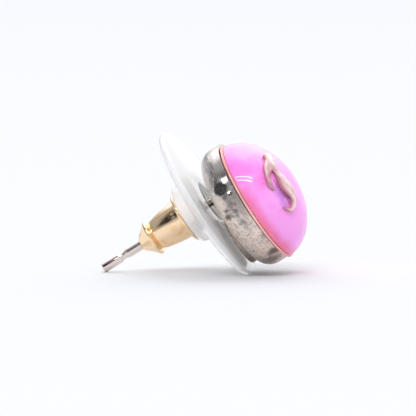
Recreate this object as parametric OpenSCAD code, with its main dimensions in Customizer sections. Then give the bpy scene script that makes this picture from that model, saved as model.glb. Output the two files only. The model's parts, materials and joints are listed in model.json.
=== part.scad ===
// Button stud earring, unworn, lying on its side with its clutch pushed up the post.
// Every piece is drawn along the post first: the post's tip is at z = 0, the button faces +Z
// and its heavier side lies toward +X. laid_down() then tips the stud over onto the floor,
// where it rests on the post's tip and on the clear disc's rim.

/* [Glass] */
// Diameter of the glass cabochon at its girdle
glass_d = 9.3; // [8:0.1:11]
// Height of the glass above its flat back
glass_h = 3.1; // [2:0.1:4.5]
// How far below the flat back the middle of the glass's ellipse lies
glass_tuck = 0.27; // [0:0.01:0.6]
// Rounding of the glass's lower edge
glass_edge = 0.15; // [0.05:0.01:0.4]
// How far the glass sits to the heavy side of the metal back's centre
glass_shift = 0.18; // [0:0.01:0.4]
// Width of the raised glass trail where it is widest
trail_w = 1.1; // [0.5:0.02:1.3]
// Height of the raised glass trail where it is widest
trail_h = 0.54; // [0.2:0.01:0.7]

/* [Metal back] */
// Diameter of the metal back
back_d = 9.5; // [8.5:0.1:11.5]
// Thickness of the metal back without its boss
back_t = 2.0; // [1.7:0.05:3]
// Rounding of the back edge
back_round = 1.25; // [0.4:0.05:1.35]
// Rounding of the front edge, against the backing disc
back_lip = 0.12; // [0.05:0.01:0.2]
// Diameter of the low boss on the back
boss_d = 4.14; // [3:0.02:4.4]
// Height of the boss
boss_h = 0.47; // [0.3:0.01:0.8]
// Rounding of the boss's edge
boss_edge = 0.12; // [0.05:0.01:0.2]
// Distance from the metal back's centre to the boss's centre
boss_shift = 1.74; // [1:0.02:2]
// Diameter of the copper backing disc between glass and metal
backing_d = 9.36; // [8:0.02:11]
// Thickness of the copper backing disc
backing_t = 0.25; // [0.1:0.01:0.5]

/* [Post] */
// Diameter of the ear post
post_d = 0.7; // [0.6:0.01:0.8]
// Length of the post from its tip to the metal back
post_l = 10.04; // [9:0.02:12]
// Distance from the metal back's centre to the post
post_shift = 1.58; // [1:0.02:2]
// Rounding of the post's tip
post_edge = 0.14; // [0.05:0.01:0.25]
// Distance from the tip to the middle of the groove
groove_at = 1.9; // [1.2:0.05:2.6]
// Width of the groove
groove_w = 0.66; // [0.3:0.02:1]
// Depth of the groove
groove_deep = 0.08; // [0.03:0.01:0.12]
// Diameter of the solder fillet at the post's root
solder_d = 1.3; // [0.9:0.02:1.6]
// Height of the solder fillet
solder_h = 0.28; // [0.1:0.01:0.4]

/* [Clutch disc] */
// Diameter of the clear disc
disc_d = 12; // [10:0.1:14]
// Thickness of the clear disc
disc_t = 0.54; // [0.46:0.01:1]
// Rounding of the disc's two edges
disc_edge = 0.2; // [0.05:0.01:0.2]
// Depth of the flat left on the disc's rim by its trimmed mould gate, where the stud rests
disc_flat = 0.12; // [0.02:0.01:0.2]
// Diameter of the clear hub behind the disc
hub_d = 4.5; // [4:0.1:6]
// Length of the clear hub
hub_l = 1.5; // [1:0.05:2.5]
// Rounding of the hub's back edge
hub_edge = 0.3; // [0.05:0.01:0.5]
// Gap between the disc and the boss on the metal back
clutch_gap = 0.23; // [0.15:0.01:1.5]

/* [Clutch barrel] */
// Diameter of the flange behind the hub
flange_d = 3.8; // [3.4:0.05:4.6]
// Thickness of the flange
flange_t = 0.26; // [0.15:0.01:0.4]
// Diameter of the barrel at the flange
barrel_d = 2.9; // [2.6:0.05:3.3]
// Length of the barrel from the flange to the collar
barrel_l = 2.4; // [1.8:0.05:3.5]
// Diameter of the barrel at the collar
waist_d = 2.14; // [1.8:0.02:2.5]
// Diameter of the collar ring
collar_d = 2.76; // [2.5:0.02:3]
// Width of the collar ring
collar_w = 0.32; // [0.2:0.01:0.5]
// Depth of the fine groove before the collar
collar_groove = 0.08; // [0.03:0.01:0.2]
// Width of the fine groove before the collar
collar_groove_w = 0.12; // [0.06:0.01:0.16]
// Length of the tail behind the collar
tail_l = 0.94; // [0.6:0.02:1.4]
// Diameter of the tail's end
tail_d = 1.0; // [0.95:0.01:1.2]
// How far the tail's cone bulges
tail_belly = 0.08; // [0:0.01:0.15]
// Rounding of the tail's end
tail_round = 0.1; // [0.03:0.01:0.2]
// Diameter of the polished washer face in the front of the disc
washer_d = 3.2; // [2.6:0.05:3.6]
// Thickness of the washer
washer_t = 0.16; // [0.1:0.01:0.22]
// Diameter of the core tube that runs through the disc and hub
core_d = 2.0; // [1.6:0.05:2.4]

/* [Clearances] */
// Gap all round the post in the clutch's bore
post_clear = 0.04; // [0.02:0.01:0.08]
// Glue line or seating gap between two pieces that touch
seat_gap = 0.02; // [0.01:0.005:0.05]

/* [Hidden] */

// Smoothness: sides of a full turn, and steps of one rounded edge or curve
turn_sides = 96;
edge_sides = 48;
edge_steps = 4;
curve_steps = 20;

// The trail's two strands, which both start at the bend near the glass's top edge.
// Columns: place toward the heavy side and place toward the front, as shares of the glass radius,
// and size, as a share of the trail's width and height
trail_bend = [-0.43, 0.34, 0.6];
long_strand = [
    trail_bend,
    [-0.27, 0.43, 0.75],
    [0, 0.45, 1],
    [0.155, 0.375, 1],
    [0.28, 0.365, 0.9],
    [0.345, 0.49, 0.8],
    [0.325, 0.62, 0.6]
];
short_strand = [
    trail_bend,
    [-0.34, 0.54, 0.6],
    [-0.22, 0.65, 0.6],
    [-0.11, 0.71, 0.55],
    [-0.01, 0.75, 0.45]
];
strand_steps = 6;
strand_sides = 12;
// How much of a strand's length its rounded ends take up, in trail widths, and how far into that
// rounding its first and last rings lie, in ring gaps
strand_end = 0.35;
strand_start = 0.25;
// How sharply the barrel curves in toward its waist, and how far a cutter stands out of its piece
barrel_curve = 2.2;
cut_over = 1;

// Radii
glass_r = glass_d / 2;
back_r = back_d / 2;
post_r = post_d / 2;
disc_r = disc_d / 2;
bore_r = post_r + post_clear;

// Stations along the post, from its tip at 0
boss_z = post_l - boss_h;
backing_z = post_l + back_t + seat_gap;
glass_z = backing_z + backing_t + seat_gap;
disc_front = boss_z - clutch_gap;
disc_back = disc_front - disc_t;
flange_z = disc_back - hub_l - seat_gap;
barrel_z = flange_z - flange_t;
collar_z = barrel_z - barrel_l;
cone_z = collar_z - collar_w;
tail_z = cone_z - tail_l;
washer_z = disc_front - seat_gap;

// Places beside the post, toward the heavy side
back_x = post_shift;
boss_x = post_shift + boss_shift;
glass_x = post_shift + glass_shift;

// The glass's ellipse: half its height, and the height of its surface over a distance from the middle
glass_rise = glass_h + glass_tuck;
function glass_height(d) = glass_rise * sqrt(1 - pow(d / glass_r, 2)) - glass_tuck;

// Round rims that could touch the floor, as [station, distance from the post, rounding]
post_foot = [post_edge, post_r - post_edge, post_edge];
disc_foot = [disc_back + disc_edge, disc_r - disc_edge, disc_edge - disc_flat];
back_foot = [post_l + back_round, back_x + back_r - back_round, back_round];
lip_foot = [post_l + back_t - back_lip, back_x + back_r - back_lip, back_lip];
glass_foot = [glass_z + glass_edge, glass_x + glass_r - glass_edge, glass_edge];
boss_foot = [boss_z + boss_edge, boss_x + boss_d / 2 - boss_edge, boss_edge];
hub_foot = [flange_z + seat_gap + hub_edge, hub_d / 2 - hub_edge, hub_edge];

// The slope of a floor that touches the post's tip and one such rim
function slope(foot) =
    let (run = foot[0] - post_foot[0], drop = foot[1] - post_foot[1])
    atan2(drop, run) + asin((foot[2] - post_foot[2]) / norm([run, drop]));

// The stud comes to rest on the rim that stands out the most
rims = [disc_foot, back_foot, lip_foot, glass_foot, boss_foot, hub_foot];
post_tilt = max([for (rim = rims) slope(rim)]);

// Where the pieces end on the floor, before the stud is centred
function foot_x(foot) = foot[0] * cos(post_tilt) + foot[1] * sin(post_tilt);
function foot_z(foot) = foot[0] * sin(post_tilt) - foot[1] * cos(post_tilt);
disc_top = [disc_back + disc_edge, disc_edge - disc_r, disc_edge];
post_top = [post_edge, post_edge - post_r, post_edge];
rest_z = foot_z(post_foot) - post_edge;
left_x = min(foot_x(post_top) - post_edge, foot_x(disc_top) - disc_edge);
glass_reach = norm([glass_rise * cos(post_tilt), glass_r * sin(post_tilt)]);
glass_tip = foot_x([glass_z - glass_tuck, glass_x]) + glass_reach;
right_x = max(glass_tip, max([for (rim = rims) foot_x(rim) + rim[2]]));
middle_x = (left_x + right_x) / 2;

// Lays the stud down: the post leans up toward +X and the lowest points touch z = 0
module laid_down() {
    translate([-middle_x, 0, -rest_z])
        rotate([0, 90 - post_tilt, 0])
            children();
}

// Half outline of a round plate from z = low to high, with its lower and upper rims rounded.
// A rim rounded by more than half the thickness would bulge over the other face, so both are trimmed
module plate_outline(r, low, high, low_edge, high_edge) {
    middle = (low + low_edge + high - high_edge) / 2;
    intersection() {
        union() {
            translate([0, low])
                square([r - low_edge, middle - low]);
            translate([0, middle])
                square([r - high_edge, high - middle]);
            translate([0, low + low_edge])
                square([r, high - high_edge - low - low_edge]);
            translate([r - low_edge, low + low_edge])
                circle(low_edge, $fn = edge_sides);
            translate([r - high_edge, high - high_edge])
                circle(high_edge, $fn = edge_sides);
        }
        translate([0, low])
            square([r, high - low]);
    }
}

// Everything under the floor, which trims the flat on the disc's rim
module under_floor() {
    translate([-disc_d, -disc_d, -disc_d])
        cube([2 * disc_d, 2 * disc_d, disc_d]);
}

// Points along a smooth curve through the given points
function curve_point(points, i, t) =
    let (
        last = len(points) - 1,
        a = points[max(i - 1, 0)],
        b = points[i],
        c = points[min(i + 1, last)],
        d = points[min(i + 2, last)]
    )
    (2 * b + t * (c - a) + t * t * (2 * a - 5 * b + 4 * c - d) + t * t * t * (3 * b - a - 3 * c + d)) / 2;
function curve(points, steps) = [
    for (i = [0:len(points) - 2], k = [0:steps - 1]) curve_point(points, i, k / steps),
    points[len(points) - 1]
];

// A strand's point on the glass, and the glass's outward direction there
function on_glass(row) =
    let (x = row[0] * glass_r, y = -row[1] * glass_r)
    [x, y, glass_height(norm([x, y])) + seat_gap];
function glass_normal(p) =
    let (slope_xy = glass_r * glass_r, slope_z = glass_rise * glass_rise)
    unit([p[0] / slope_xy, p[1] / slope_xy, (p[2] + glass_tuck) / slope_z]);
function unit(v) = v / norm(v);

// How full the strand is at one ring: round at both ends, full between them
function fullness(i, last, ring_gap) =
    let (from_end = (min(i, last - i) + strand_start) * ring_gap / (strand_end * trail_w))
    from_end >= 1 ? 1 : sqrt(1 - pow(1 - from_end, 2));

// One ring of a strand: a half-round section that stands on the glass
function strand_ring(centres, i, ring_gap, size) =
    let (
        last = len(centres) - 1,
        ahead = unit(centres[min(i + 1, last)] - centres[max(i - 1, 0)]),
        up = glass_normal(centres[i]),
        side = unit(cross(ahead, up)),
        full = size * fullness(i, last, ring_gap)
    )
    [for (k = [0:strand_sides])
        let (turn = 180 * k / strand_sides)
        centres[i] + side * trail_w / 2 * full * cos(turn) + up * trail_h * full * sin(turn)];

// One strand of the trail, from its table
module strand(table) {
    rows = curve(table, strand_steps);
    centres = [for (row = rows) on_glass(row)];
    last = len(centres) - 1;
    ring_gap = norm(centres[1] - centres[0]);
    ring = strand_sides + 1;
    points = [for (i = [0:last]) each strand_ring(centres, i, ring_gap, rows[i][2])];
    sides = [for (i = [0:last - 1], k = [0:ring - 1])
        let (next = (k + 1) % ring)
        each [
            [i * ring + k, i * ring + next, (i + 1) * ring + next],
            [i * ring + k, (i + 1) * ring + next, (i + 1) * ring + k]
        ]];
    start_cap = [[for (k = [ring - 1:-1:0]) k]];
    end_cap = [[for (k = [0:ring - 1]) last * ring + k]];
    polyhedron(points, concat(sides, start_cap, end_cap));
}

// Pink glass cabochon: half an ellipsoid with a rounded lower edge and a flat back
module glass_dome() {
    edge_angle = asin((glass_tuck + glass_edge) / glass_rise);
    edge_r = glass_r * cos(edge_angle);
    lower_edge = [for (k = [0:edge_steps - 1])
        let (turn = 90 * k / edge_steps)
        [edge_r - glass_edge + glass_edge * sin(turn), glass_edge - glass_edge * cos(turn)]];
    face = [for (k = [0:curve_steps])
        let (turn = edge_angle + (90 - edge_angle) * k / curve_steps)
        [glass_r * cos(turn), glass_rise * sin(turn) - glass_tuck]];
    color("#f5a2e4")
        laid_down()
            translate([glass_x, 0, glass_z])
                rotate_extrude($fn = turn_sides)
                    polygon(concat([[0, 0]], lower_edge, face));
}

// Raised beige trail on the glass: two strands that meet in a bend
module glass_trail() {
    color("#dcb9b4")
        laid_down()
            translate([glass_x, 0, glass_z])
                union() {
                    strand(long_strand);
                    strand(short_strand);
                }
}

// Thin copper backing disc between the glass and the metal
module backing_disc() {
    color("#d98070")
        laid_down()
            translate([glass_x, 0, backing_z])
                cylinder(h = backing_t, d = backing_d, $fn = turn_sides);
}

// Metal back with its low boss, and the ear post soldered on beside the boss
module metal_back() {
    color("#a79f97")
        laid_down()
            union() {
                back_body();
                back_boss();
                solder_fillet();
                ear_post();
            }
}

module back_body() {
    translate([back_x, 0, post_l])
        rotate_extrude($fn = turn_sides)
            plate_outline(back_r, 0, back_t, back_round, back_lip);
}

// The boss reaches far enough into the body to be joined to its rounded edge too
module back_boss() {
    translate([boss_x, 0, boss_z])
        rotate_extrude($fn = turn_sides)
            plate_outline(boss_d / 2, 0, boss_h + back_t / 2, boss_edge, boss_edge);
}

module solder_fillet() {
    translate([0, 0, post_l - solder_h])
        cylinder(h = solder_h, d1 = post_d, d2 = solder_d, $fn = turn_sides);
}

// The post runs halfway into the metal back, and has a groove near its tip for the clutch
module ear_post() {
    rotate_extrude($fn = turn_sides)
        difference() {
            plate_outline(post_r, 0, post_l + back_t / 2, post_edge, post_edge);
            polygon([
                [post_r, groove_at - groove_w / 2],
                [post_d, groove_at - groove_w / 2],
                [post_d, groove_at + groove_w / 2],
                [post_r, groove_at + groove_w / 2],
                [post_r - groove_deep, groove_at]
            ]);
        }
}

// Clear plastic disc and hub, moulded as one, with a stepped hole for the barrel's core and washer
module clutch_disc() {
    hub_back = disc_back - hub_l;
    hub_front = disc_front - disc_t / 2;
    recess_back = washer_z - washer_t - seat_gap;
    color("#e9ebf2")
        difference() {
            laid_down()
                rotate_extrude($fn = turn_sides)
                    difference() {
                        union() {
                            plate_outline(disc_r, disc_back, disc_front, disc_edge, disc_edge);
                            plate_outline(hub_d / 2, hub_back, hub_front, hub_edge, disc_edge);
                        }
                        translate([0, hub_back - cut_over])
                            square([core_d / 2 + seat_gap, hub_l + disc_t + 2 * cut_over]);
                        translate([0, recess_back])
                            square([washer_d / 2 + seat_gap, disc_front - recess_back + cut_over]);
                    }
            under_floor();
        }
}

// Gold bullet: washer face, core tube, flange, tapering barrel, collar ring and tail, bored through
module clutch_barrel() {
    core_r = core_d / 2;
    lip = flange_t / 2;
    lip_curve = [for (k = [0:edge_steps * 2])
        let (turn = 180 * k / (edge_steps * 2))
        [flange_d / 2 - lip + lip * sin(turn), flange_z - lip + lip * cos(turn)]];
    taper = [for (k = [0:curve_steps / 2])
        let (share = k * 2 / curve_steps, curved = pow(share, barrel_curve))
        [barrel_d / 2 * (1 - curved) + waist_d / 2 * curved, barrel_z - barrel_l * share]];
    collar = [
        [waist_d / 2 - collar_groove, collar_z - collar_groove_w / 2],
        [collar_d / 2 - collar_groove, collar_z - collar_groove_w],
        [collar_d / 2, collar_z - collar_groove_w - collar_groove],
        [collar_d / 2, cone_z]
    ];
    tail = [
        [(collar_d + tail_d) / 4 + tail_belly, cone_z - tail_l / 2],
        [tail_d / 2 + tail_round, tail_z + tail_round],
        [tail_d / 2, tail_z]
    ];
    front = [
        [bore_r, washer_z],
        [washer_d / 2, washer_z],
        [washer_d / 2, washer_z - washer_t],
        [core_r, washer_z - washer_t],
        [core_r, flange_z]
    ];
    color("#e3b565")
        laid_down()
            rotate_extrude($fn = turn_sides)
                polygon(concat(front, lip_curve, taper, collar, tail, [[bore_r, tail_z]]));
}

glass_dome();
glass_trail();
backing_disc();
metal_back();
clutch_disc();
clutch_barrel();
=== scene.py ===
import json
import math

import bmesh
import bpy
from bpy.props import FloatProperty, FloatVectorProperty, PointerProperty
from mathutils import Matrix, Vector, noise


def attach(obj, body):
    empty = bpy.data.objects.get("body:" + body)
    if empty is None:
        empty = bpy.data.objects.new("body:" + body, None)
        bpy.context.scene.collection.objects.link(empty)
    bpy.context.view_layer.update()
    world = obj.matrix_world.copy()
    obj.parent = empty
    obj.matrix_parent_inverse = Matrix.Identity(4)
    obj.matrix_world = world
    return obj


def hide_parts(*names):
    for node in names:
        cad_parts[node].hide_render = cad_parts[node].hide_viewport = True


bl_info = {
    "name": "Button Stud Earring",
    "version": (1, 0, 0),
    "blender": (4, 5, 0),
    "location": "3D View > Sidebar > Earring",
    "description": "Dresses a lying button stud earring in glass, worn metal, clear plastic and gold plate",
    "category": "Object",
}

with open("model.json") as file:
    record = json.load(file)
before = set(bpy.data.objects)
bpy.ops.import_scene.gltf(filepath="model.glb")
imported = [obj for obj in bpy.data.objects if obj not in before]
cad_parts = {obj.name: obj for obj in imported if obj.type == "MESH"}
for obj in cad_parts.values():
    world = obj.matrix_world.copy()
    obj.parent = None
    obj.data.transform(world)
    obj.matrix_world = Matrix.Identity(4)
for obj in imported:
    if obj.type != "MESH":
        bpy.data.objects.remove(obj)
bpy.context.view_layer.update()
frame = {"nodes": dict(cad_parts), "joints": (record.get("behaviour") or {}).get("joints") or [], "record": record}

# Pieces are modelled in millimetres along the post, as a maker turns them: the post's tip is at zero,
# the button faces +Z and its heavy side lies toward +X. LAID turns and scales them into the frame.
MM = 0.001
ALONG = Vector(frame["joints"][0]["axis"]).normalized()
TURN = Matrix((Vector((0, 1, 0)).cross(ALONG), Vector((0, 1, 0)), ALONG)).transposed()


def turned_points(node):
    """A CAD node's points in millimetres, turned to stand along the post."""
    back = TURN.transposed()
    return [back @ vertex.co / MM for vertex in frame["nodes"][node].data.vertices]


def middle(values):
    """Halfway between the lowest and the highest value."""
    return (min(values) + max(values)) / 2


TIP = Vector((
    middle([point.x for point in turned_points("clutch_barrel")]),
    0,
    min(point.z for point in turned_points("metal_back")),
))
LAID = Matrix.Translation(TURN @ TIP * MM) @ TURN.to_4x4() @ Matrix.Scale(MM, 4)


def drawn(node, keep=lambda point: True):
    """Lowest and highest corner, in drawing millimetres, of those points of a CAD node that are kept."""
    points = [point - TIP for point in turned_points(node) if keep(point - TIP)]
    return (
        Vector([min(point[axis] for point in points) for axis in range(3)]),
        Vector([max(point[axis] for point in points) for axis in range(3)]),
    )


# Limits that part one feature's points from the rest of its node, in drawing millimetres: heights along
# the post, and distances from the middle
UNDER_BUTTON = 9
UNDER_BACK = 9.9
UNDER_DISC = 8
PAST_POST = 1
PAST_BARREL = 1.6
PAST_BOSS = 4
PAST_HUB = 5

# Where the CAD part puts each piece, in drawing millimetres
GLASS = drawn("glass_dome")
BACKING = drawn("backing_disc")
METAL = drawn("metal_back")
BARREL = drawn("clutch_barrel")
DISC = drawn("clutch_disc")
BACK = drawn("metal_back", lambda point: abs(point.y) > PAST_BOSS)
BOSS = drawn("metal_back", lambda point: point.z < UNDER_BACK and point.x > PAST_POST)
POST = drawn("metal_back", lambda point: point.z < UNDER_BUTTON)
DISC_PLATE = drawn("clutch_disc", lambda point: abs(point.y) > PAST_HUB)
DISC_HUB = drawn("clutch_disc", lambda point: point.z < UNDER_DISC)
WASHER = drawn("clutch_barrel", lambda point: point.z > UNDER_BUTTON)
FLANGE = drawn("clutch_barrel", lambda point: point.z < UNDER_DISC and abs(point.y) > PAST_BARREL)
BACK_FACE = (TURN.transposed() @ Vector(frame["record"]["mounts"][1]["pos_m"]) / MM - TIP).z
GLASS_R = GLASS[1].y
GLASS_X = middle([GLASS[0].x, GLASS[1].x])
BACK_X = METAL[1].x - BACK[1].y
BOSS_X = middle([BOSS[0].x, BOSS[1].x])


def linear(code):
    """Linear red, green and blue of an sRGB hex colour."""
    shares = [int(code[i:i + 2], 16) / 255 for i in (0, 2, 4)]
    return tuple(s / 12.92 if s <= 0.04045 else ((s + 0.055) / 1.055) ** 2.4 for s in shares)


def colour(name, code, description):
    """A colour setting whose default is an sRGB hex value."""
    return FloatVectorProperty(
        name=name, description=description, default=linear(code), size=3, min=0, max=1, subtype="COLOR"
    )


class GlassSettings(bpy.types.PropertyGroup):
    """Sizes and colours of the glass button"""
    pink: colour("Pink", "FF88E2", "Body colour of the glass")
    # Also painted toward the heavy side of the dome, as a pale sheen of reflected light
    pale: colour("Pale pink", "FFA8F2", "Clouds in the glass")
    # Painted as shade along the lower rim on the heavy side
    hot: colour("Hot pink", "F878AE", "Glass along the lower rim, over the copper")
    edge: colour("Edge", "F48F92", "Thin edge of the glass against the copper")
    violet: colour("Violet", "CB84DC", "Thin streaks of violet glass")
    # Painted as shade in the hollow beside the trail
    trail_hollow_shade: colour("Mauve", "96527A", "Glass in the hollow beside the trail")
    trail: colour("Trail", "F4E0D8", "Raised beige trail")
    # Also painted as shade low on the trail, where it meets the dome
    trail_rose_and_shade: colour("Trail rose", "BC7389", "Rose-brown glass low in the trail")
    trail_grey: colour("Trail grey", "958A86", "Smoky streaks pulled along the trail")
    ripple: FloatProperty(
        name="Ripple", description="Depth in mm of the slow ripple that flame working leaves",
        default=0.012, min=0, max=0.2,
    )
    trail_lift: FloatProperty(
        name="Trail lift", default=0.3, min=0, max=1,
        description="How far the trail's strands stand out of the dome, in shares of their width",
    )
    trail_turns: FloatProperty(
        name="Trail turns", description="Turns that the trail's two strands make about each other",
        default=0.9, min=0, max=4,
    )


class MetalSettings(bpy.types.PropertyGroup):
    """Sizes and colours of the worn metal back, its post and the copper disc"""
    silver: colour("Silver", "D2CCC8", "White metal where it is still bright")
    # Also lighter than the real film, as painted light on the metal back's shaded heavy side
    warm: colour("Warm tarnish", "F6E6D8", "Thin warm film over the metal")
    dark: colour("Dark tarnish", "5A4C42", "Thick dark film in pits and blotches")
    # Painted grey reflection around the side wall
    reflected_grey: colour("Ash", "7E7A79", "Grey streaks that run around the side wall")
    blue: colour("Blue tarnish", "5F6068", "Bluish blotches on the side wall")
    post: colour("Post", "E8DCD4", "Bright drawn wire")
    solder: colour("Solder", "8D7767", "Solder and its flux stain")
    copper: colour("Copper", "FFBAB6", "Copper backing disc")
    wave: FloatProperty(
        name="Wave", description="Depth in mm of the broad dents in the metal back",
        default=0.045, min=0, max=0.2,
    )
    pit: FloatProperty(
        name="Pit depth", description="Depth in mm of the cast pits", default=0.025, min=0, max=0.1
    )
    back_round: FloatProperty(
        name="Back rounding", description="Rounding in mm of the metal back's rear edge",
        default=1.25, min=0.4, max=1.35,
    )
    copper_shows: FloatProperty(
        name="Copper shows", description="Height in mm of the copper that shows between metal and glass",
        default=0.17, min=0.05, max=0.25,
    )
    groove: FloatProperty(
        name="Groove depth", description="Depth in mm of the post's groove", default=0.09, min=0, max=0.12
    )


class ClutchSettings(bpy.types.PropertyGroup):
    """Sizes and colours of the clutch"""
    plastic: colour("Clear plastic", "FFFFFF", "Tint of the clear moulding")
    glue: colour("Glue", "D9B98C", "Small tan spot on the disc")
    gold: colour("Gold", "FFE2BA", "Gold plate where it is bright")
    gold_deep: colour("Deep gold", "F4BC80", "Gold plate along edges and in grooves")
    gold_worn: colour("Worn gold", "A8845A", "Thin plate with the brass showing through")
    # Painted dark brown as shade between the clutch and the button
    washer: colour("Washer", "33271F", "Brown tarnish on the washer that faces the button")
    disc_edge: FloatProperty(
        name="Disc edge", description="Rounding in mm of the disc's edges", default=0.2, min=0.05, max=0.25
    )
    hub_edge: FloatProperty(
        name="Hub edge", description="Rounding in mm of the hub's back edge", default=0.3, min=0.05, max=0.5
    )


class StudioSettings(bpy.types.PropertyGroup):
    """Camera, floor and light"""
    azimuth: FloatProperty(
        name="Azimuth", description="Camera's turn about the vertical",
        default=math.radians(11.305), subtype="ANGLE",
    )
    elevation: FloatProperty(
        name="Elevation", description="Camera's height above the floor",
        default=math.radians(5.17), subtype="ANGLE",
    )
    distance: FloatProperty(
        name="Distance", description="From the post's tip to the camera", default=0.3, unit="LENGTH"
    )
    density: FloatProperty(
        name="Pixels per mm", description="Picture scale at the post's tip", default=13.776
    )
    roll: FloatProperty(
        name="Roll", description="Camera's turn about its line of sight",
        default=math.radians(0.4), subtype="ANGLE",
    )
    floor: colour("Floor", "D8D9DC", "Pale matt sheet under the earring")
    room: FloatProperty(name="Room light", description="Brightness of the pale room", default=0.8, min=0)
    lamps: FloatProperty(
        name="Lamp light", description="Brightness of the lamps beside the room's", default=20, min=0
    )


# The trail's two strands over the dome, as rows of X, Y and half width in drawing millimetres
STRANDS = (
    ((-0.45, -1.75, 0.46), (0.1, -2.12, 0.46), (0.75, -2.45, 0.42), (1.42, -2.55, 0.44), (2.0, -2.5, 0.45),
     (2.45, -2.32, 0.42), (2.95, -2.22, 0.4), (3.38, -2.45, 0.37), (3.56, -2.82, 0.33), (3.38, -3.16, 0.22)),
    ((-0.1, -2.25, 0.36), (0.42, -2.95, 0.36), (0.92, -3.36, 0.32), (1.37, -3.54, 0.27), (1.78, -3.5, 0.15)),
)
# How much of the dome's ellipsoid its rim cuts off, in millimetres
DOME_TUCK = 0.27


def on_dome(x, y):
    """The dome's surface over a place, and which way the glass faces there."""
    tall = GLASS[1].z - GLASS[0].z + DOME_TUCK
    rise = math.sqrt(max(1 - ((x - GLASS_X) ** 2 + y * y) / GLASS_R ** 2, 0))
    point = Vector((x, y, GLASS[1].z - tall + tall * rise))
    facing = Vector(((x - GLASS_X) / GLASS_R ** 2, y / GLASS_R ** 2, rise / tall))
    return point, facing.normalized()


def turned(rows, sides=128, longest=None, ring=False):
    """Spins a half outline about Z into a closed shell. Each row is a distance from the axis, a height and the
    rounding of that corner. A ring's outline closes on itself and leaves an open middle."""
    bm = bmesh.new()
    corners = [bm.verts.new((row[0], 0, row[1])) for row in rows]
    for pair in zip(corners, corners[1:]):
        bm.edges.new(pair)
    if ring:
        bm.edges.new((corners[-1], corners[0]))
    for corner, row in zip(corners, rows):
        if row[2]:
            bmesh.ops.bevel(
                bm, geom=[corner], offset=row[2], offset_type="OFFSET", segments=8, profile=0.5,
                affect="VERTICES", material=-1,
            )
    if longest:
        for edge in list(bm.edges):
            cuts = int(edge.calc_length() / longest)
            if cuts:
                bmesh.ops.subdivide_edges(bm, edges=[edge], cuts=cuts)
    bmesh.ops.spin(
        bm, geom=bm.verts[:] + bm.edges[:], cent=(0, 0, 0), axis=(0, 0, 1), angle=math.tau,
        steps=sides, use_merge=True,
    )
    bmesh.ops.remove_doubles(bm, verts=bm.verts, dist=0.0001)
    bmesh.ops.recalc_face_normals(bm, faces=bm.faces)
    return bm


def pushed(bm, depth):
    """Moves each point along its normal by depth(point, normal), in millimetres."""
    bm.normal_update()
    moves = [(vertex, vertex.normal * depth(vertex.co, vertex.normal)) for vertex in bm.verts]
    for vertex, move in moves:
        vertex.co += move


def finished(name, bm, body, nodes, material, sharp=40):
    """Lays the shape down in the frame as a named piece that rides on a body and stands for CAD nodes."""
    bmesh.ops.transform(bm, matrix=LAID, verts=bm.verts)
    bm.normal_update()
    for face in bm.faces:
        face.smooth = True
    for edge in bm.edges:
        edge.smooth = edge.calc_face_angle(0) < math.radians(sharp)
    mesh = bpy.data.meshes.new(name)
    bm.to_mesh(mesh)
    bm.free()
    piece = bpy.data.objects.new(name, mesh)
    bpy.context.scene.collection.objects.link(piece)
    mesh.materials.append(material)
    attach(piece, body)
    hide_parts(*nodes)
    return piece


def add(tree, kind, inputs=None, **settings):
    """Adds a shader node with its settings, and sets or links its inputs."""
    node = tree.nodes.new("ShaderNode" + kind)
    for name, value in settings.items():
        setattr(node, name, value)
    for key, value in (inputs or {}).items():
        socket = node.inputs[key]
        if isinstance(value, bpy.types.NodeSocket):
            tree.links.new(value, socket)
        elif socket.type == "RGBA":
            socket.default_value = (*value[:3], 1)
        else:
            socket.default_value = value
    return node


def surface(name):
    """A new material: its tree, its shader, and a point's place in drawing millimetres."""
    material = bpy.data.materials.new(name)
    material.use_nodes = True
    tree = material.node_tree
    shader = tree.nodes["Principled BSDF"]
    object_place = add(tree, "TexCoord").outputs["Object"]
    place = add(tree, "Mapping", {
        "Vector": object_place, "Location": -TIP, "Rotation": TURN.transposed().to_euler(),
        "Scale": (1 / MM, 1 / MM, 1 / MM),
    }).outputs[0]
    return material, tree, shader, place


def spot(tree, place, centre, reach, soft=0.5):
    """One at a charted place, fading to nothing at its reach in millimetres."""
    distance = add(tree, "VectorMath", {0: place, 1: centre}, operation="DISTANCE").outputs["Value"]
    return add(tree, "MapRange", {
        "Value": distance, "From Min": reach, "From Max": reach * (1 - soft), "To Min": 0, "To Max": 1,
    }, interpolation_type="SMOOTHSTEP").outputs[0]


def spots(tree, place, chart, soft=0.5):
    """The strongest of several charted spots, as rows of centre, reach and strength."""
    mask = None
    for centre, reach, strength in chart:
        one = spot(tree, place, centre, reach, soft)
        one = add(tree, "Math", {0: one, 1: strength}, operation="MULTIPLY").outputs[0]
        mask = add(tree, "Math", {0: mask, 1: one}, operation="MAXIMUM").outputs[0] if mask else one
    return mask


def wandering(tree, place, size, amount):
    """The place, shaken by soft noise of one size, so that charted edges wander. Both in millimetres."""
    shake = add(tree, "TexNoise", {"Vector": place, "Scale": 1 / size, "Detail": 3}).outputs["Color"]
    shake = add(tree, "VectorMath", {0: shake, 1: (0.5, 0.5, 0.5)}, operation="SUBTRACT").outputs[0]
    shake = add(tree, "VectorMath", {0: shake, "Scale": amount * 2}, operation="SCALE").outputs[0]
    return add(tree, "VectorMath", {0: place, 1: shake}, operation="ADD").outputs[0]


def mixed(tree, share, first, second):
    """The first colour, turning to the second by a share."""
    return add(tree, "Mix", {0: share, 6: first, 7: second}, data_type="RGBA").outputs[2]


def ranged(tree, value, low, high, first=0.0, last=1.0):
    """A smooth step: first where the value is at low, and last where it is at high."""
    return add(tree, "MapRange", {
        "Value": value, "From Min": low, "From Max": high, "To Min": first, "To Max": last,
    }, interpolation_type="SMOOTHSTEP").outputs[0]


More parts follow.
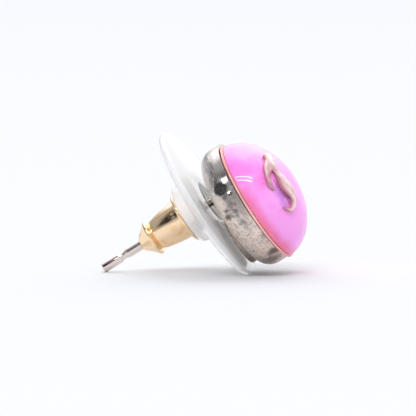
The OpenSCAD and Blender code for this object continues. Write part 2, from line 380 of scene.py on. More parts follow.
def pink_glass(glass):
    """Soda-lime glass, opaque pink, flame worked and fire polished: wet gloss over a body that glows a little,
    with slow clouds and violet streaks. A pale sheen is painted toward the heavy side, a hotter pink shade along
    the lower rim, and a dark purple shade beside the trail."""
    material, tree, shader, place = surface("Pink opaque glass, fire polished")
    shaken = wandering(tree, place, 1.2, 0.35)
    axes = add(tree, "SeparateXYZ", {0: shaken}).outputs
    clouds = add(tree, "TexNoise", {"Vector": place, "Scale": 1 / 2.6, "Detail": 4}).outputs["Fac"]
    # Slow clouds, and a pale sheen painted toward the heavy side as reflected light
    clouds_and_sheen = add(tree, "Math", {
        0: ranged(tree, clouds, 0.4, 0.7), 1: ranged(tree, axes["X"], 0.8, 4.4, 0, 0.9),
    }, operation="MAXIMUM").outputs[0]
    base = mixed(tree, clouds_and_sheen, glass.pink, glass.pale)
    # Hot pink painted along the lower rim on the heavy side, as shade
    low_rim = ranged(tree, axes["Z"], GLASS[0].z + 1.0, GLASS[0].z + 0.1)
    low_side = ranged(tree, axes["X"], -0.2, 2.0)
    rim_shade = add(tree, "Math", {0: low_rim, 1: low_side}, operation="MULTIPLY").outputs[0]
    base = mixed(tree, rim_shade, base, glass.hot)
    # The thin edge of the glass lets the copper's colour through
    edge = ranged(tree, axes["Z"], GLASS[0].z + 0.28, GLASS[0].z + 0.02, 0, 0.6)
    base = mixed(tree, edge, base, glass.edge)
    violet = spots(tree, shaken, [
        ((-2.7, -1.5, 12.7), 1.0, 0.45),
        ((-1.9, -2.8, 12.6), 0.8, 0.45),
        ((-1.3, -3.4, 12.5), 0.7, 0.45),
        ((1.9, -3.3, 14.4), 0.75, 0.9),
        ((2.25, -3.2, 14.45), 0.8, 1.0),
        ((2.65, -3.1, 14.45), 0.8, 1.0),
        ((3.0, -3.05, 14.4), 0.65, 0.8),
    ], soft=1)
    base = mixed(tree, violet, base, glass.violet)
    # Dark purple shade painted in the hollow beside the trail and along the strands' lower sides
    near_place = wandering(tree, place, 0.5, 0.12)
    trail_hollow_shade = spots(tree, near_place, [
        ((1.3, -2.95, 14.7), 0.3, 0.7),
        ((1.55, -2.92, 14.7), 0.32, 0.9),
        ((1.8, -2.9, 14.7), 0.35, 0.95),
        ((2.05, -2.87, 14.7), 0.35, 0.95),
        ((2.3, -2.82, 14.7), 0.38, 1.0),
        ((2.55, -2.72, 14.72), 0.38, 1.0),
        ((2.8, -2.65, 14.74), 0.36, 0.95),
        ((3.05, -2.7, 14.65), 0.32, 0.85),
        ((0.35, -3.4, 14.4), 0.3, 0.5),
        ((0.65, -3.7, 14.2), 0.3, 0.55),
        ((1.05, -3.85, 14.05), 0.28, 0.6),
        ((3.3, -3.3, 14.2), 0.25, 0.6),
    ], soft=1)
    base = mixed(tree, trail_hollow_shade, base, glass.trail_hollow_shade)
    tree.links.new(base, shader.inputs["Base Color"])
    shader.inputs["Roughness"].default_value = 0.035
    shader.inputs["IOR"].default_value = 1.52
    shader.inputs["Subsurface Weight"].default_value = 0.25
    shader.inputs["Subsurface Radius"].default_value = (1.0, 0.45, 0.8)
    shader.inputs["Subsurface Scale"].default_value = 0.5 * MM
    ripple = add(tree, "TexNoise", {"Vector": place, "Scale": 1 / 0.7, "Detail": 1}).outputs["Fac"]
    bump = add(tree, "Bump", {"Height": ripple, "Distance": 0.002 * MM, "Strength": 0.5})
    tree.links.new(bump.outputs[0], shader.inputs["Normal"])
    return material


def beige_glass(glass):
    """Beige glass cane, trailed on hot: rounded and glossy, streaked along its length where the cane was pulled,
    with a rose-brown leg. Rose-brown shade is painted low along it where it meets the dome."""
    material, tree, shader, place = surface("Beige glass cane, melted on")
    shaken = wandering(tree, place, 0.6, 0.2)
    streaks = add(tree, "TexNoise", {
        "Vector": shaken, "Scale": 1 / 0.4, "Detail": 4, "Distortion": 1.2,
    }).outputs["Fac"]
    base = mixed(tree, ranged(tree, streaks, 0.5, 0.75, 0, 0.55), glass.trail, glass.trail_grey)
    base = mixed(tree, ranged(tree, streaks, 0.45, 0.25, 0, 0.6), base, glass.pale)
    rose = spots(tree, shaken, [
        ((0.5, -3.1, 14.9), 0.9, 0.75),
        ((0.9, -3.5, 14.6), 0.9, 0.85),
        ((1.4, -3.7, 14.3), 0.8, 0.85),
    ], soft=1)
    # Rose-brown shade is also painted low on the trail, where it meets the dome
    above = add(tree, "Attribute", attribute_name="above_dome").outputs["Fac"]
    crease_shade = ranged(tree, above, 0.42, 0.12, 0, 0.9)
    rose = add(tree, "Math", {0: rose, 1: crease_shade}, operation="MAXIMUM").outputs[0]
    base = mixed(tree, rose, base, glass.trail_rose_and_shade)
    tree.links.new(base, shader.inputs["Base Color"])
    shader.inputs["Roughness"].default_value = 0.04
    shader.inputs["IOR"].default_value = 1.52
    shader.inputs["Subsurface Weight"].default_value = 0.3
    shader.inputs["Subsurface Radius"].default_value = (1.0, 0.6, 0.6)
    shader.inputs["Subsurface Scale"].default_value = 0.3 * MM
    fine = add(tree, "TexNoise", {"Vector": place, "Scale": 1 / 0.3, "Detail": 2}).outputs["Fac"]
    bump = add(tree, "Bump", {"Height": fine, "Distance": 0.01 * MM, "Strength": 0.5})
    tree.links.new(bump.outputs[0], shader.inputs["Normal"])
    return material


def copper_sheet(metal):
    """Rolled copper sheet, cut round: satin salmon metal, browned in patches by handling."""
    material, tree, shader, place = surface("Copper sheet, rolled and browned")
    film = add(tree, "TexNoise", {"Vector": place, "Scale": 1 / 0.8, "Detail": 5}).outputs["Fac"]
    base = mixed(tree, ranged(tree, film, 0.5, 0.8, 0, 0.6), metal.copper, metal.warm)
    tree.links.new(base, shader.inputs["Base Color"])
    shader.inputs["Metallic"].default_value = 0.5
    rough = ranged(tree, film, 0.3, 0.8, 0.28, 0.5)
    tree.links.new(rough, shader.inputs["Roughness"])
    grain = add(tree, "TexNoise", {"Vector": place, "Scale": 1 / 0.08, "Detail": 2}).outputs["Fac"]
    bump = add(tree, "Bump", {"Height": grain, "Distance": 0.004 * MM, "Strength": 0.6})
    tree.links.new(bump.outputs[0], shader.inputs["Normal"])
    return material


def worn_metal(metal):
    """White metal, cast and once plated: bright and mirror-like high on the side wall, then filmed with warm
    tarnish, blue-black blotches and dark pits toward its heavy lower side. Painted on it are a grey reflection
    around the side wall, a dark reflection with a highlight above it near the copper, and light on the shaded
    heavy side."""
    material, tree, shader, place = surface("White metal, cast and tarnished")
    shaken = wandering(tree, place, 0.8, 0.4)
    axes = add(tree, "SeparateXYZ", {0: shaken}).outputs
    low = ranged(tree, axes["X"], -0.6, 1.4)
    high = ranged(tree, axes["X"], 0.6, -0.8)
    cloud = add(tree, "TexNoise", {"Vector": place, "Scale": 1 / 0.9, "Detail": 6}).outputs["Fac"]
    speck = add(tree, "TexNoise", {"Vector": place, "Scale": 1 / 0.14, "Detail": 4}).outputs["Fac"]
    around = add(tree, "Mapping", {"Vector": shaken, "Scale": (0.3, 0.3, 4)}).outputs[0]
    streak = add(tree, "TexNoise", {"Vector": around, "Scale": 1, "Detail": 5}).outputs["Fac"]

    def times(*shares):
        """The product of several shares."""
        whole = shares[0]
        for share in shares[1:]:
            whole = add(tree, "Math", {0: whole, 1: share}, operation="MULTIPLY").outputs[0]
        return whole

    # Warm tarnish film toward the heavy side, its near-white colour also painted light on that shaded side
    warm_film_and_light = times(ranged(tree, cloud, 0.3, 0.6, 0.5, 1), low)
    base = mixed(tree, warm_film_and_light, metal.silver, metal.warm)
    # A grey reflection is painted around the bright half, strongest halfway up the side wall and broken into
    # brushed streaks
    reflection_belt = times(ranged(tree, axes["Z"], 10.45, 10.9), ranged(tree, axes["Z"], 11.75, 11.2))
    reflection_belt = add(tree, "Math", {0: reflection_belt, 1: 0.75, 2: 0.1}, operation="MULTIPLY_ADD").outputs[0]
    base = mixed(tree, times(high, reflection_belt, ranged(tree, streak, 0.36, 0.58, 0.2, 1)), base, metal.reflected_grey)
    mottle = add(tree, "TexNoise", {
        "Vector": place, "Scale": 1 / 0.42, "Detail": 8, "Roughness": 0.65, "Distortion": 0.6,
    }).outputs["Fac"]
    dirt = times(ranged(tree, speck, 0.5, 0.68), ranged(tree, axes["X"], -0.5, 1.5, 0.1, 0.45))
    patch = times(ranged(tree, mottle, 0.5, 0.66, 0, 0.45), ranged(tree, axes["X"], 0.2, 2.2, 0.15, 1))
    grime = add(tree, "Math", {0: dirt, 1: patch}, operation="MAXIMUM").outputs[0]
    base = mixed(tree, grime, base, metal.dark)
    # A dull blue-grey strip lies along the copper, below the painted highlight
    strip = times(
        ranged(tree, axes["Z"], 11.35, 11.75), ranged(tree, axes["X"], -0.3, 0.3),
        ranged(tree, axes["X"], 3.4, 1.8), ranged(tree, speck, 0.35, 0.65, 0.7, 0.35),
    )
    blotches = spots(tree, wandering(tree, shaken, 0.3, 0.35), [
        ((0.5, -4.64, 11.35), 0.5, 0.75),
        ((1.06, -4.72, 11.35), 0.6, 0.8),
        ((1.6, -4.75, 11.3), 0.6, 0.9),
        ((2.0, -4.73, 11.2), 0.5, 0.8),
        ((2.6, -4.65, 11.4), 0.5, 0.65),
        ((3.0, -4.5, 11.5), 0.4, 0.4),
    ], soft=0.9)
    blotches = add(tree, "Math", {0: blotches, 1: strip}, operation="MAXIMUM").outputs[0]
    base = mixed(tree, blotches, base, metal.blue)
    stains_and_dark_rear = spots(tree, shaken, [
        ((1.35, -4.6, 10.75), 0.36, 0.85),
        ((1.8, -4.6, 10.7), 0.4, 0.9),
        ((5.4, -2.7, 11.8), 0.7, 0.85),
        ((5.9, -1.9, 11.4), 0.9, 0.6),
        ((4.2, -4.05, 11.95), 0.35, 0.5),
    ], soft=0.8)
    # Darker toward the rear edge
    rear = ranged(tree, axes["Z"], 10.12, 9.98, 0, 0.55)
    stains_and_dark_rear = add(tree, "Math", {0: stains_and_dark_rear, 1: rear}, operation="MAXIMUM").outputs[0]
    base = mixed(tree, stains_and_dark_rear, base, metal.dark)
    # The upper edge takes the copper's colour
    height = add(tree, "SeparateXYZ", {0: place}).outputs["Z"]
    edge = ranged(tree, height, BACK[1].z + 0.02, BACK[1].z + 0.08, 0, 0.25)
    base = mixed(tree, edge, base, metal.copper)
    # A dark reflection is painted near the copper as a near-black spot, with a highlight painted above it and a
    # polished spark beside it
    dark_reflection_colour = mixed(tree, ranged(tree, speck, 0.4, 0.7), (0.05, 0.048, 0.05), (0.14, 0.13, 0.13))
    dark_reflection = spot(tree, wandering(tree, place, 0.3, 0.14), (-0.28, -4.37, 11.2), 0.66, 0.35)
    base = mixed(tree, dark_reflection, base, dark_reflection_colour)
    # A highlight is painted here, standing for the reflection of a bright pane
    bright = spots(tree, wandering(tree, place, 0.4, 0.15), [
        ((-0.82, -4.1, 11.86), 0.42, 1.0),
        ((-0.6, -4.22, 11.8), 0.3, 1.0),
    ], soft=0.3)
    base = mixed(tree, bright, base, (0.95, 0.88, 0.85))
    tree.links.new(base, shader.inputs["Base Color"])
    shader.inputs["Metallic"].default_value = 1
    rough = ranged(tree, axes["X"], -0.6, 1.2, 0.24, 0.4)
    rough = add(tree, "Math", {0: dirt, 1: 0.2, 2: rough}, operation="MULTIPLY_ADD").outputs[0]
    rough = add(tree, "Math", {0: dark_reflection, 1: 0.25, 2: rough}, operation="MULTIPLY_ADD").outputs[0]
    spark = spot(tree, place, (0.36, -4.59, 11.68), 0.22, 0.4)
    polish = add(tree, "Math", {0: bright, 1: spark}, operation="MAXIMUM").outputs[0]
    rough = add(tree, "Mix", {0: polish, 2: rough, 3: 0.08}).outputs[0]
    tree.links.new(rough, shader.inputs["Roughness"])
    bump = add(tree, "Bump", {"Height": times(speck, low), "Distance": 0.02 * MM, "Strength": 0.6})
    tree.links.new(bump.outputs[0], shader.inputs["Normal"])
    return material


def drawn_wire(metal):
    """Nickel silver wire, drawn and polished: a bright mirror with faint lines along its length."""
    material, tree, shader, place = surface("Nickel silver wire, drawn bright")
    lines = add(tree, "Mapping", {"Vector": place, "Scale": (1, 1, 0.05)}).outputs[0]
    lines = add(tree, "TexNoise", {"Vector": lines, "Scale": 1 / 0.05, "Detail": 3}).outputs["Fac"]
    film = add(tree, "TexNoise", {"Vector": place, "Scale": 1 / 0.7, "Detail": 3}).outputs["Fac"]
    base = mixed(tree, ranged(tree, film, 0.5, 0.8), metal.post, metal.silver)
    tree.links.new(base, shader.inputs["Base Color"])
    shader.inputs["Metallic"].default_value = 1
    tree.links.new(ranged(tree, lines, 0.3, 0.7, 0.04, 0.1), shader.inputs["Roughness"])
    bump = add(tree, "Bump", {"Height": lines, "Distance": 0.002 * MM, "Strength": 0.4})
    tree.links.new(bump.outputs[0], shader.inputs["Normal"])
    return material


def flux_solder(metal):
    """Silver solder, run in by heat and left unpolished: dull, lumpy and browned by its flux."""
    material, tree, shader, place = surface("Silver solder, flux stained")
    film = add(tree, "TexNoise", {"Vector": place, "Scale": 1 / 0.25, "Detail": 4}).outputs["Fac"]
    base = mixed(tree, ranged(tree, film, 0.4, 0.65), metal.solder, metal.dark)
    tree.links.new(base, shader.inputs["Base Color"])
    shader.inputs["Metallic"].default_value = 1
    tree.links.new(ranged(tree, film, 0.3, 0.7, 0.25, 0.5), shader.inputs["Roughness"])
    bump = add(tree, "Bump", {"Height": film, "Distance": 0.03 * MM, "Strength": 0.7})
    tree.links.new(bump.outputs[0], shader.inputs["Normal"])
    return material


def clear_plastic(clutch):
    """Soft clear silicone, injection moulded: almost colourless, seen by its edges and bent light, cloudier
    where the hub is thick, with a faint orange peel and one small tan spot of glue."""
    material, tree, shader, place = surface("Clear silicone, injection moulded")
    glue = spot(tree, wandering(tree, place, 0.3, 0.12), (-2.05, -2.54, DISC[1].z), 0.3, 0.4)
    tree.links.new(mixed(tree, glue, clutch.plastic, clutch.glue), shader.inputs["Base Color"])
    shader.inputs["IOR"].default_value = 1.41
    shader.inputs["Subsurface Weight"].default_value = 0.55
    shader.inputs["Subsurface Radius"].default_value = (1, 1, 1)
    shader.inputs["Subsurface Scale"].default_value = 3 * MM
    height = add(tree, "SeparateXYZ", {0: place}).outputs["Z"]
    hub = ranged(tree, height, DISC_PLATE[0].z + 0.1, DISC_PLATE[0].z - 0.15)
    clear = add(tree, "Math", {
        0: ranged(tree, hub, 0, 1, 0.55, 0.38), 1: ranged(tree, glue, 0, 1, 1, 0.2),
    }, operation="MULTIPLY").outputs[0]
    tree.links.new(clear, shader.inputs["Transmission Weight"])
    peel = add(tree, "TexNoise", {"Vector": place, "Scale": 1 / 0.5, "Detail": 3}).outputs["Fac"]
    tree.links.new(ranged(tree, peel, 0.3, 0.7, 0.02, 0.06), shader.inputs["Roughness"])
    bump = add(tree, "Bump", {"Height": peel, "Distance": 0.004 * MM, "Strength": 0.4})
    tree.links.new(bump.outputs[0], shader.inputs["Normal"])
    return material


def gold_plate(clutch):
    """Brass, turned and gold plated: warm satin gold, deeper in its grooves, thin and bronze where
    fingers have worn the plate."""
    material, tree, shader, place = surface("Brass, gold plated")
    film = add(tree, "TexNoise", {"Vector": place, "Scale": 1 / 0.9, "Detail": 5}).outputs["Fac"]
    speck = add(tree, "TexNoise", {"Vector": place, "Scale": 1 / 0.12, "Detail": 4}).outputs["Fac"]
    base = mixed(tree, ranged(tree, film, 0.5, 0.75, 0, 0.8), clutch.gold, clutch.gold_deep)
    height = add(tree, "SeparateXYZ", {0: place}).outputs["Z"]
    handled = ranged(tree, height, FLANGE[1].z + 0.1, FLANGE[1].z, 0, 0.35)
    worn = add(tree, "Math", {0: ranged(tree, speck, 0.62, 0.75), 1: handled}, operation="MULTIPLY").outputs[0]
    base = mixed(tree, worn, base, clutch.gold_worn)
    # Dark brown painted on the washer's face, as shade between the clutch and the button
    base = mixed(tree, ranged(tree, height, BARREL[1].z - 0.25, BARREL[1].z - 0.17), base, clutch.washer)
    tree.links.new(base, shader.inputs["Base Color"])
    shader.inputs["Metallic"].default_value = 1
    tree.links.new(ranged(tree, film, 0.3, 0.7, 0.1, 0.2), shader.inputs["Roughness"])
    bump = add(tree, "Bump", {"Height": speck, "Distance": 0.006 * MM, "Strength": 0.5})
    tree.links.new(bump.outputs[0], shader.inputs["Normal"])
    return material


class EARRING_OT_glass_dome(bpy.types.Operator):
    """Make the pink glass dome, with the hollow beside its trail"""
    bl_idname = "earring.glass_dome"
    bl_label = "Glass Dome"

    def execute(self, context):
        glass = context.scene.earring_glass
        height = GLASS[1].z - GLASS[0].z
        bm = bmesh.new()
        bmesh.ops.create_circle(bm, segments=96, radius=1)
        bmesh.ops.transform(bm, matrix=(
            Matrix.Translation((0, 0, -DOME_TUCK))
            @ Matrix.Diagonal((GLASS_R, 1, height + DOME_TUCK, 1))
            @ Matrix.Rotation(math.pi / 2, 4, "X")
        ), verts=bm.verts)
        for side in ((1, 0, 0), (0, 0, 1)):
            bmesh.ops.bisect_plane(
                bm, geom=bm.verts[:] + bm.edges[:], dist=0.00001, plane_co=(0, 0, 0), plane_no=side,
                clear_inner=True,
            )
        rim = max(bm.verts, key=lambda vertex: vertex.co.x - vertex.co.z)
        bm.edges.new((rim, bm.verts.new((0, 0, 0))))
        bmesh.ops.bevel(
            bm, geom=[rim], offset=0.04, offset_type="OFFSET", segments=6, profile=0.5,
            affect="VERTICES", material=-1,
        )
        bmesh.ops.spin(
            bm, geom=bm.verts[:] + bm.edges[:], cent=(0, 0, 0), axis=(0, 0, 1), angle=math.tau,
            steps=160, use_merge=True,
        )
        bmesh.ops.remove_doubles(bm, verts=bm.verts, dist=0.0001)
        bmesh.ops.recalc_face_normals(bm, faces=bm.faces)
        bmesh.ops.translate(bm, vec=(GLASS_X, 0, GLASS[0].z), verts=bm.verts)
        # Hollows beside the trail, as a place, a reach and a depth in millimetres
        hollows = [((1.6, -3.0), 0.5, 0.1), ((2.1, -3.0), 0.55, 0.12), ((2.6, -2.9), 0.5, 0.1)]

        def depth(point, normal):
            if normal.z < 0.1:
                return 0
            move = -glass.ripple * (0.5 + 0.5 * noise.noise(point / 2.2))
            for centre, reach, deep in hollows:
                away = (point.xy - Vector(centre)).length / reach
                if away < 1:
                    move -= deep * (1 - away * away) ** 2
            return move

        pushed(bm, depth)
        finished("pink_dome", bm, "stud", ["glass_dome"], pink_glass(glass))
        return {"FINISHED"}


class EARRING_OT_glass_trail(bpy.types.Operator):
    """Lay the raised beige trail, two soft strands of cane melted together, over the dome"""
    bl_idname = "earring.glass_trail"
    bl_label = "Glass Trail"

    def execute(self, context):
        glass = context.scene.earring_glass
        # Beads for each row of a chart, a bead's radius and its strand's swing in shares of the half width
        row_beads, bead, swing_share = 15, 0.55, 0.48
        # Depth and size in millimetres of the lumps that the flame left
        lump_depth, lump_size = 0.045, 0.35
        bm = bmesh.new()
        for chart, turns in zip(STRANDS, (glass.trail_turns, glass.trail_turns / 2)):
            rows = [Vector(row) for row in chart]
            count = row_beads * len(rows)
            for step in range(count):
                span = step / count * (len(rows) - 1)
                here = int(span)
                part = span - here
                r0, r1, r2, r3 = (rows[min(max(here + i, 0), len(rows) - 1)] for i in (-1, 0, 1, 2))
                row = (
                    r1 * 2 + (r2 - r0) * part + (r0 * 2 - r1 * 5 + r2 * 4 - r3) * part ** 2
                    + (r1 * 3 - r0 - r2 * 3 + r3) * part ** 3
                ) / 2
                point, out = on_dome(row.x, row.y)
                ahead = Vector((r2.x - r1.x, r2.y - r1.y, 0))
                aside = ahead.cross(out).normalized()
                angle = math.tau * turns * step / count
                spread = row.z * swing_share * min(1, 0.4 + 4 * step / count, 3 - 3 * step / count)
                swing = (aside * math.cos(angle) + out * 0.5 * math.sin(angle)) * spread
                for side in (-1, 1):
                    centre = point + out * row.z * glass.trail_lift + swing * side
                    bmesh.ops.create_icosphere(
                        bm, subdivisions=2, radius=row.z * bead, matrix=Matrix.Translation(centre)
                    )
        rough = bpy.data.meshes.new("trail_rough")
        bm.to_mesh(rough)
        holder = bpy.data.objects.new("trail_rough", rough)
        context.scene.collection.objects.link(holder)
        remesh = holder.modifiers.new("Remesh", "REMESH")
        remesh.mode = "VOXEL"
        remesh.voxel_size = 0.035
        smooth = holder.modifiers.new("Smooth", "SMOOTH")
        smooth.factor = 0.5
        smooth.iterations = 3
        bm.clear()
        bm.from_object(holder, context.evaluated_depsgraph_get())
        bpy.data.objects.remove(holder)
        bpy.data.meshes.remove(rough)
        bmesh.ops.recalc_face_normals(bm, faces=bm.faces)
        pushed(bm, lambda point, normal: lump_depth * noise.noise(point / lump_size))
        above = bm.verts.layers.float.new("above_dome")
        for vertex in bm.verts:
            point, out = on_dome(vertex.co.x, vertex.co.y)
            vertex[above] = (vertex.co - point).dot(out)
        finished("beige_trail", bm, "stud", ["glass_trail"], beige_glass(glass), sharp=180)
        return {"FINISHED"}


class EARRING_OT_backing(bpy.types.Operator):
    """Make the thin copper disc under the glass"""
    bl_idname = "earring.backing"
    bl_label = "Copper Disc"

    def execute(self, context):
        metal = context.scene.earring_metal
        high, reach = BACKING[1].z, BACKING[1].y
        low = high - metal.copper_shows
        bm = turned([(0, low, 0), (reach, low, 0.02), (reach, high, 0.02), (0, high, 0)], sides=192)
        bmesh.ops.translate(bm, vec=(GLASS_X, 0, 0), verts=bm.verts)
        pushed(bm, lambda point, normal: -0.01 * (0.5 + 0.5 * noise.noise(point / 1.1)))
        finished("copper_disc", bm, "stud", ["backing_disc"], copper_sheet(metal))
        return {"FINISHED"}


class EARRING_OT_metal_back(bpy.types.Operator):
    """Make the worn metal back with its dents and pits, its boss, and the solder at the post's root"""
    bl_idname = "earring.metal_back"
    bl_label = "Metal Back"

    def execute(self, context):
        metal = context.scene.earring_metal
        worn = worn_metal(metal)
        # Spacing of the cast pits in millimetres, and a pit's reach as a share of that
        pit_spacing, pit_reach = 0.27, 0.36

        def depth(point, normal):
            move = -metal.wave * (0.5 + 0.5 * noise.noise(point / 1.7))
            move -= metal.wave * 0.4 * (0.5 + 0.5 * noise.noise(point / 0.6))
            low = min(max((point.x - 0.5) / 3, 0), 1)
            near = noise.voronoi(point / pit_spacing)[0][0]
            if near < pit_reach:
                move -= metal.pit * low * (1 - (near / pit_reach) ** 2)
            return move

        reach = BACK[1].y
        top = BACK[1].z + BACKING[1].z - BACKING[0].z - metal.copper_shows
        bm = turned([
            (0, BACK_FACE, 0), (reach, BACK_FACE, metal.back_round), (reach, top, 0.025), (0, top, 0),
        ], sides=330, longest=0.09)
        bmesh.ops.translate(bm, vec=(BACK_X, 0, 0), verts=bm.verts)
        pushed(bm, depth)
        finished("metal_back_body", bm, "stud", ["metal_back"], worn)

        reach = BOSS[1].y
        bm = turned([
            (0, BOSS[0].z, 0), (reach, BOSS[0].z, 0.12), (reach, BACK_FACE + 1, 0), (0, BACK_FACE + 1, 0),
        ], sides=180, longest=0.09)
        bmesh.ops.translate(bm, vec=(BOSS_X, 0, 0), verts=bm.verts)
        pushed(bm, lambda point, normal: depth(point, normal) * 0.6)
        finished("metal_back_boss", bm, "stud", ["metal_back"], worn)

        wire = POST[1].y
        bm = turned([
            (0, BACK_FACE - 0.34, 0), (wire, BACK_FACE - 0.34, 0), (wire + 0.05, BACK_FACE - 0.18, 0.1),
            (wire + 0.29, BACK_FACE, 0.1), (wire + 0.26, BACK_FACE + 0.1, 0), (0, BACK_FACE + 0.1, 0),
        ], sides=72, longest=0.05)
        pushed(bm, lambda point, normal: -0.05 * (0.5 + 0.5 * noise.noise(point / 0.3)))
        finished("post_solder", bm, "stud", ["metal_back"], flux_solder(metal))
        return {"FINISHED"}


class EARRING_OT_ear_post(bpy.types.Operator):
    """Make the bright ear post with the groove that holds a clutch"""
    bl_idname = "earring.ear_post"
    bl_label = "Ear Post"

    def execute(self, context):
        metal = context.scene.earring_metal
        wire = POST[1].y
        deep = wire - metal.groove
        bm = turned([
            (0, 0, 0), (wire, 0, 0.14), (wire, 1.48, 0.06), (deep, 1.7, 0.09),
            (deep, 1.94, 0.09), (wire, 2.2, 0.06), (wire, BACK_FACE + 0.3, 0), (0, BACK_FACE + 0.3, 0),
        ], sides=96)
        finished("ear_post", bm, "stud", ["metal_back"], drawn_wire(metal))
        return {"FINISHED"}


class EARRING_OT_clutch_disc(bpy.types.Operator):
    """Make the clear disc and its hub, with the flat that the stud rests on"""
    bl_idname = "earring.clutch_disc"
    bl_label = "Clear Disc"

    def execute(self, context):
        clutch = context.scene.earring_clutch
        reach, hub = DISC_PLATE[1].y, DISC_HUB[1].y
        back, plate, front = DISC[0].z, DISC_PLATE[0].z, DISC[1].z
        core, washer, step = 1.02, 1.62, front - 0.2
        bm = turned([
            (core, back, 0), (hub, back, clutch.hub_edge), (hub, plate, 0.15),
            (reach, plate, clutch.disc_edge), (reach, front, clutch.disc_edge),
            (washer, front, 0.02), (washer, step, 0), (core, step, 0),
        ], sides=192, ring=True)
        floor = LAID.inverted() @ Vector((0, 0, 0))
        up = TURN.transposed() @ Vector((0, 0, 1))
        bmesh.ops.bisect_plane(
            bm, geom=bm.verts[:] + bm.edges[:] + bm.faces[:], dist=0.0001, plane_co=floor, plane_no=up,
            clear_inner=True,
        )
        bmesh.ops.holes_fill(bm, edges=[edge for edge in bm.edges if edge.is_boundary], sides=0)
        bmesh.ops.recalc_face_normals(bm, faces=bm.faces)
        piece = finished("clear_disc", bm, "clutch", ["clutch_disc"], clear_plastic(clutch))
        # Light passes the clear disc, so it throws next to no shadow on the floor
        piece.visible_shadow = False
        return {"FINISHED"}


class EARRING_OT_clutch_barrel(bpy.types.Operator):
    """Make the gold bullet: washer, core tube, flange, barrel, collar and tail"""
    bl_idname = "earring.clutch_barrel"
    bl_label = "Gold Barrel"

    def execute(self, context):
        clutch = context.scene.earring_clutch
        tail, front = BARREL[0].z, BARREL[1].z
        bore, core, washer = POST[1].y + 0.04, 1.0, WASHER[1].y
        flange, flange_top = FLANGE[1].y, FLANGE[1].z
        cone = tail + 0.94
        collar = cone + 0.32
        flange_low = flange_top - 0.26
        bm = turned([
            (bore, front, 0.03), (washer, front, 0.04), (washer, front - 0.16, 0.04),
            (core, front - 0.16, 0), (core, flange_top, 0),
            (flange, flange_top, 0.12), (flange, flange_low, 0.12),
            (1.45, flange_low, 0.08), (1.43, collar + 1.1, 0.95), (1.08, collar, 0.05),
            (1.0, collar - 0.05, 0.03), (1.28, collar - 0.1, 0.03),
            (1.38, collar - 0.18, 0.05), (1.38, cone, 0.06),
            (0.95, cone - 0.42, 0.3), (0.5, tail, 0.1), (bore, tail, 0.03),
        ], sides=144, ring=True)
        pushed(bm, lambda point, normal: -0.01 * (0.5 + 0.5 * noise.noise(point / 0.8)))
        finished("gold_barrel", bm, "clutch", ["clutch_barrel"], gold_plate(clutch))
        return {"FINISHED"}


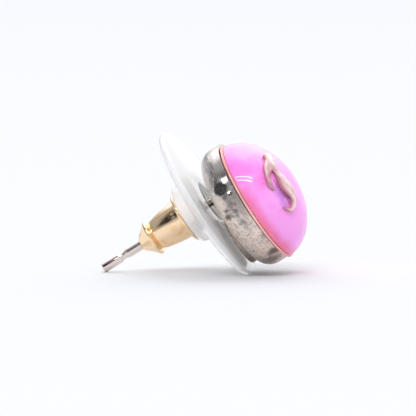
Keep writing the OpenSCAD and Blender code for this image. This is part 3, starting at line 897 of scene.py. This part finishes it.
class EARRING_OT_studio(bpy.types.Operator):
    """Set the floor, the camera and the light"""
    bl_idname = "earring.studio"
    bl_label = "Studio"

    def execute(self, context):
        studio = context.scene.earring_studio
        scene = context.scene

        # Matt card, rolled: no gloss of its own, a trace of paper fibre
        material = bpy.data.materials.new("White card, matt")
        material.use_nodes = True
        tree = material.node_tree
        shader = tree.nodes["Principled BSDF"]
        place = add(tree, "TexCoord").outputs["Object"]
        fibre = add(tree, "TexNoise", {"Vector": place, "Scale": 1 / 0.0004, "Detail": 2}).outputs["Fac"]
        base = mixed(tree, ranged(tree, fibre, 0.3, 0.8, 0, 0.02), studio.floor, (0.7, 0.7, 0.7))
        tree.links.new(base, shader.inputs["Base Color"])
        shader.inputs["Roughness"].default_value = 0.9
        shader.inputs["Specular IOR Level"].default_value = 0
        bm = bmesh.new()
        bmesh.ops.create_grid(bm, x_segments=1, y_segments=1, size=6)
        mesh = bpy.data.meshes.new("floor")
        bm.to_mesh(mesh)
        bm.free()
        mesh.materials.append(material)
        floor = bpy.data.objects.new("floor", mesh)
        scene.collection.objects.link(floor)

        # The camera looks past the post's tip, so that the tip falls where the picture has it
        turn, lift = studio.azimuth, studio.elevation
        back = Vector((math.sin(turn) * math.cos(lift), -math.cos(turn) * math.cos(lift), math.sin(lift)))
        right = Matrix.Rotation(-studio.roll, 3, back) @ Vector((math.cos(turn), math.sin(turn), 0))
        over = back.cross(right)
        tip = LAID @ Vector((0, 0, 0))
        tip.z = -0.05 * MM
        # Half the picture's side, and the tip's column and row in it, in pixels
        half, tip_column, tip_row = 208, 103.4, 272.4
        pixel = MM / studio.density
        aim = tip + right * (half - tip_column) * pixel + over * (tip_row - half) * pixel
        camera = bpy.data.cameras.new("camera")
        camera.sensor_width = 36
        camera.lens = camera.sensor_width * studio.distance / (2 * half * pixel)
        camera.clip_start = 0.01
        camera.clip_end = 20
        holder = bpy.data.objects.new("camera", camera)
        holder.location = tip + back * studio.distance
        level = (aim - holder.location).to_track_quat("-Z", "Y").to_matrix()
        holder.rotation_euler = (level @ Matrix.Rotation(-studio.roll, 3, "Z")).to_euler()
        scene.collection.objects.link(holder)
        scene.camera = holder

        # Two strip lights overhead, each between two ways, draw the fine double line on the glass, and a
        # small lamp at the left makes the sparks. They hang this many metres away.
        far = 8
        for name, start, end, width in (
            ("strip_back", (-0.45, -0.55, 0.74), (0.41, -0.34, 0.85), 0.32),
            ("strip_front", (-0.25, -0.63, 0.76), (0.38, -0.49, 0.80), 0.32),
            ("small_lamp", (-0.48, -0.77, 0.42), (-0.44, -0.80, 0.41), 0.4),
        ):
            start, end = Vector(start).normalized(), Vector(end).normalized()
            way = (start + end).normalized()
            along = (end - start).normalized()
            lamp = bpy.data.lights.new(name, "AREA")
            lamp.shape = "RECTANGLE"
            lamp.size, lamp.size_y = (end - start).length * far, width
            lamp.energy = studio.lamps * math.pi * lamp.size * lamp.size_y
            lit = bpy.data.objects.new(name, lamp)
            aimed = Matrix((along, way.cross(along), way)).transposed().to_4x4()
            lit.matrix_world = Matrix.Translation(way * far) @ aimed
            scene.collection.objects.link(lit)

        # A white tent: a wide soft window above and behind, a bright backdrop, dimmer at the left, with a
        # dark thing at the front left, its grey top above it and a small bright pane between them
        world = bpy.data.worlds.new("room")
        world.use_nodes = True
        scene.world = world
        tree = world.node_tree
        toward = add(tree, "TexCoord").outputs["Generated"]
        shade = add(tree, "VectorMath", {
            0: toward, 1: (0.85, -0.1, 0.5),
        }, operation="DOT_PRODUCT").outputs["Value"]
        shade = mixed(tree, ranged(tree, shade, -0.7, 0.7), (0.54, 0.54, 0.60), (0.94, 0.94, 0.99))
        for way, inner, outer, tint in (
            ((0.1, 0.97, 0.2), 10, 40, (1.4, 1.4, 1.42)),
            ((-0.06, 0.58, 0.79), 20, 46, (3.0, 3.0, 3.0)),
            ((-0.68, -0.38, 0.63), 8, 18, (0.2, 0.19, 0.19)),
            ((-0.60, -0.67, 0.43), 15, 21, (0.015, 0.015, 0.015)),
            ((-0.555, -0.53, 0.64), 5, 7.5, (1.7, 1.7, 1.7)),
        ):
            facing = add(tree, "VectorMath", {
                0: toward, 1: Vector(way).normalized(),
            }, operation="DOT_PRODUCT").outputs["Value"]
            near = ranged(tree, facing, math.cos(math.radians(outer)), math.cos(math.radians(inner)))
            shade = mixed(tree, near, shade, tint)
        tree.links.new(shade, tree.nodes["Background"].inputs["Color"])
        tree.nodes["Background"].inputs["Strength"].default_value = studio.room
        scene.view_settings.view_transform = "Standard"
        scene.view_settings.look = "None"
        scene.view_settings.exposure = 0
        scene.view_settings.gamma = 1
        return {"FINISHED"}


STEPS = (
    EARRING_OT_glass_dome,
    EARRING_OT_glass_trail,
    EARRING_OT_backing,
    EARRING_OT_metal_back,
    EARRING_OT_ear_post,
    EARRING_OT_clutch_disc,
    EARRING_OT_clutch_barrel,
    EARRING_OT_studio,
)
SETTINGS = {
    "earring_glass": GlassSettings,
    "earring_metal": MetalSettings,
    "earring_clutch": ClutchSettings,
    "earring_studio": StudioSettings,
}


class EARRING_PT_sidebar(bpy.types.Panel):
    """Lists the earring's pieces and their settings"""
    bl_idname = "EARRING_PT_sidebar"
    bl_label = "Button Stud Earring"
    bl_space_type = "VIEW_3D"
    bl_region_type = "UI"
    bl_category = "Earring"

    def draw(self, context):
        for step in STEPS:
            self.layout.operator(step.bl_idname)
        for name in SETTINGS:
            settings = getattr(context.scene, name)
            box = self.layout.box()
            for setting in settings.bl_rna.properties:
                if setting.identifier not in ("rna_type", "name"):
                    box.prop(settings, setting.identifier)


def register():
    for kind in (*SETTINGS.values(), *STEPS, EARRING_PT_sidebar):
        bpy.utils.register_class(kind)
    for name, kind in SETTINGS.items():
        setattr(bpy.types.Scene, name, PointerProperty(type=kind))


def unregister():
    for name in SETTINGS:
        delattr(bpy.types.Scene, name)
    for kind in (EARRING_PT_sidebar, *reversed(STEPS), *SETTINGS.values()):
        bpy.utils.unregister_class(kind)


def main():
    """Makes every piece in order."""
    register()
    for step in STEPS:
        family, name = step.bl_idname.split(".")
        getattr(getattr(bpy.ops, family), name)()


if __name__ == "__main__":
    main()
